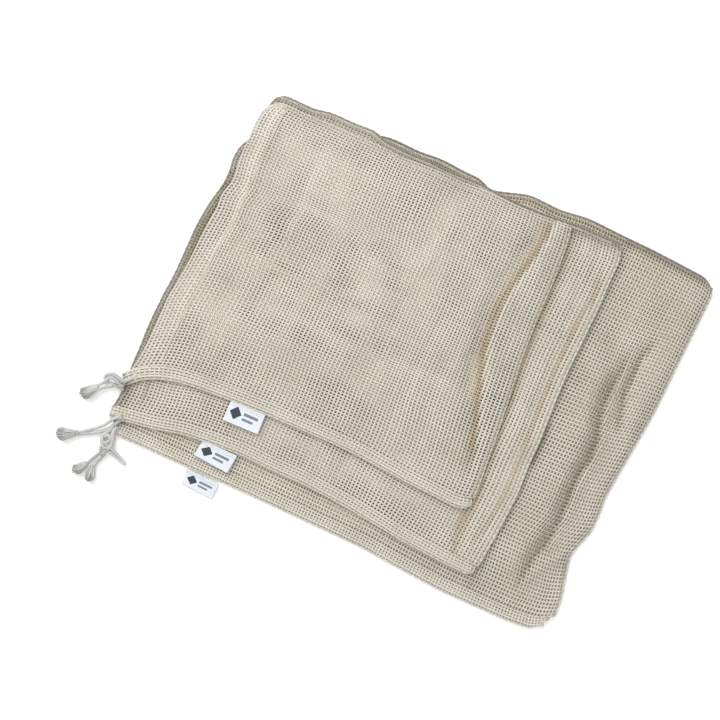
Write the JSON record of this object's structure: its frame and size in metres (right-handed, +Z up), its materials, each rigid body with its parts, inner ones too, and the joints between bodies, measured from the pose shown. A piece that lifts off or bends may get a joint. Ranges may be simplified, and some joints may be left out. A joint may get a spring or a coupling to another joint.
{
  "type": "mesh laundry bag set",
  "caption": "Flat stack of net drawstring laundry bags in nested sizes, each with a hemmed mouth, a sliding drawstring with knotted tail, and a sewn label.",
  "frame": {"origin": "centre of the large bag's underside, on the surface the stack rests on", "axes": "+X along the mouths, away from the corner the drawstrings leave; +Y from the mouths to the bottom seams; +Z up"},
  "size_m": [0.5454, 0.4373, 0.0275],
  "materials": {
    "cotton_net": "open natural cotton net",
    "cotton_net_large": "open natural cotton net, slightly greyer",
    "casing_net": "doubled natural cotton net",
    "seam_thread": "overlocked cotton edge",
    "stitch_thread": "cotton lockstitch",
    "drawcord": "twisted off-white cotton cord",
    "label_tape": "white woven tape",
    "label_thread": "white thread"
  },
  "bodies": {
    "large_bag": {"large_back_net_panel": "cotton_net_large", "large_right_side_seam": "seam_thread", "large_bottom_seam": "seam_thread", "large_back_casing": "casing_net", "large_back_casing_stitching": "stitch_thread"},
    "large_front": {"large_front_net_panel": "cotton_net_large", "large_left_side_seam": "seam_thread", "large_front_casing": "casing_net", "large_front_casing_stitching": "stitch_thread"},
    "large_drawstring": {"large_drawstring_back_run": "drawcord"},
    "large_front_cord": {"large_drawstring_front_run": "drawcord"},
    "large_tail": {"large_drawstring_tail": "drawcord", "large_drawstring_knot": "drawcord", "large_drawstring_frayed_ends": "drawcord"},
    "large_label_body": {"large_label": "label_tape", "large_label_stitching": "label_thread"},
    "medium_bag": {"medium_back_net_panel": "cotton_net", "medium_right_side_seam": "seam_thread", "medium_bottom_seam": "seam_thread", "medium_back_casing": "casing_net", "medium_back_casing_stitching": "stitch_thread"},
    "medium_front": {"medium_front_net_panel": "cotton_net", "medium_left_side_seam": "seam_thread", "medium_front_casing": "casing_net", "medium_front_casing_stitching": "stitch_thread"},
    "medium_drawstring": {"medium_drawstring_back_run": "drawcord"},
    "medium_front_cord": {"medium_drawstring_front_run": "drawcord"},
    "medium_tail": {"medium_drawstring_tail": "drawcord", "medium_drawstring_knot": "drawcord", "medium_drawstring_frayed_ends": "drawcord"},
    "medium_label_body": {"medium_label": "label_tape", "medium_label_stitching": "label_thread"},
    "small_bag": {"small_back_net_panel": "cotton_net", "small_right_side_seam": "seam_thread", "small_bottom_seam": "seam_thread", "small_back_casing": "casing_net", "small_back_casing_stitching": "stitch_thread"},
    "small_front": {"small_front_net_panel": "cotton_net", "small_left_side_seam": "seam_thread", "small_front_casing": "casing_net", "small_front_casing_stitching": "stitch_thread"},
    "small_drawstring": {"small_drawstring_back_run": "drawcord"},
    "small_front_cord": {"small_drawstring_front_run": "drawcord"},
    "small_tail": {"small_drawstring_tail": "drawcord", "small_drawstring_knot": "drawcord", "small_drawstring_frayed_ends": "drawcord"},
    "small_label_body": {"small_label": "label_tape", "small_label_stitching": "label_thread"}
  },
  "joints": [
    {"name": "large_mouth_open", "type": "hinge", "parent": "large_bag", "child": "large_front", "pos_m": [0, 0.1888, 0.0059], "axis": [-1, 0, 0], "range_deg": [0, 12]},
    {"name": "large_cord_pull", "type": "slide", "parent": "large_bag", "child": "large_drawstring", "axis": [-1, 0, 0], "range_m": [0, 0.19]},
    {"name": "large_cord_pull_front", "type": "slide", "parent": "large_front", "child": "large_front_cord", "axis": [-1, 0, 0], "range_m": [0, 0.19]},
    {"name": "large_tail_swing", "type": "hinge", "parent": "large_drawstring", "child": "large_tail", "pos_m": [-0.256, -0.19, 0.00565], "axis": [0, 0, 1], "range_deg": [-40, 10]},
    {"name": "large_label_flip", "type": "hinge", "parent": "large_front", "child": "large_label_body", "pos_m": [0, -0.19715, 0.0057], "axis": [-1, 0, 0], "range_deg": [0, 85]},
    {"name": "medium_bag_lift", "type": "slide", "parent": "large_front", "child": "medium_bag", "axis": [0, 0, 1], "range_m": [0, 0.15]},
    {"name": "medium_mouth_open", "type": "hinge", "parent": "medium_bag", "child": "medium_front", "pos_m": [0, 0.1848, 0.0139], "axis": [-1, 0, 0], "range_deg": [0, 12]},
    {"name": "medium_cord_pull", "type": "slide", "parent": "medium_bag", "child": "medium_drawstring", "axis": [-1, 0, 0], "range_m": [0, 0.16]},
    {"name": "medium_cord_pull_front", "type": "slide", "parent": "medium_front", "child": "medium_front_cord", "axis": [-1, 0, 0], "range_m": [0, 0.16]},
    {"name": "medium_tail_swing", "type": "hinge", "parent": "medium_drawstring", "child": "medium_tail", "pos_m": [-0.258, -0.163, 0.01365], "axis": [0, 0, 1], "range_deg": [-30, 6]},
    {"name": "medium_label_flip", "type": "hinge", "parent": "medium_front", "child": "medium_label_body", "pos_m": [0, -0.17015, 0.0137], "axis": [-1, 0, 0], "range_deg": [0, 85]},
    {"name": "small_bag_lift", "type": "slide", "parent": "medium_front", "child": "small_bag", "axis": [0, 0, 1], "range_m": [0, 0.15]},
    {"name": "small_mouth_open", "type": "hinge", "parent": "small_bag", "child": "small_front", "pos_m": [0, 0.1798, 0.0219], "axis": [-1, 0, 0], "range_deg": [0, 12]},
    {"name": "small_cord_pull", "type": "slide", "parent": "small_bag", "child": "small_drawstring", "axis": [-1, 0, 0], "range_m": [0, 0.14]},
    {"name": "small_cord_pull_front", "type": "slide", "parent": "small_front", "child": "small_front_cord", "axis": [-1, 0, 0], "range_m": [0, 0.14]},
    {"name": "small_tail_swing", "type": "hinge", "parent": "small_drawstring", "child": "small_tail", "pos_m": [-0.258, -0.11, 0.02165], "axis": [0, 0, 1], "range_deg": [-40, 4]},
    {"name": "small_label_flip", "type": "hinge", "parent": "small_front", "child": "small_label_body", "pos_m": [0, -0.11715, 0.0217], "axis": [-1, 0, 0], "range_deg": [0, 85]}
  ],
  "couplings": [
    {"joint": "large_cord_pull_front", "follows": "large_cord_pull", "ratio": 1},
    {"joint": "medium_cord_pull_front", "follows": "medium_cord_pull", "ratio": 1},
    {"joint": "small_cord_pull_front", "follows": "small_cord_pull", "ratio": 1}
  ]
}
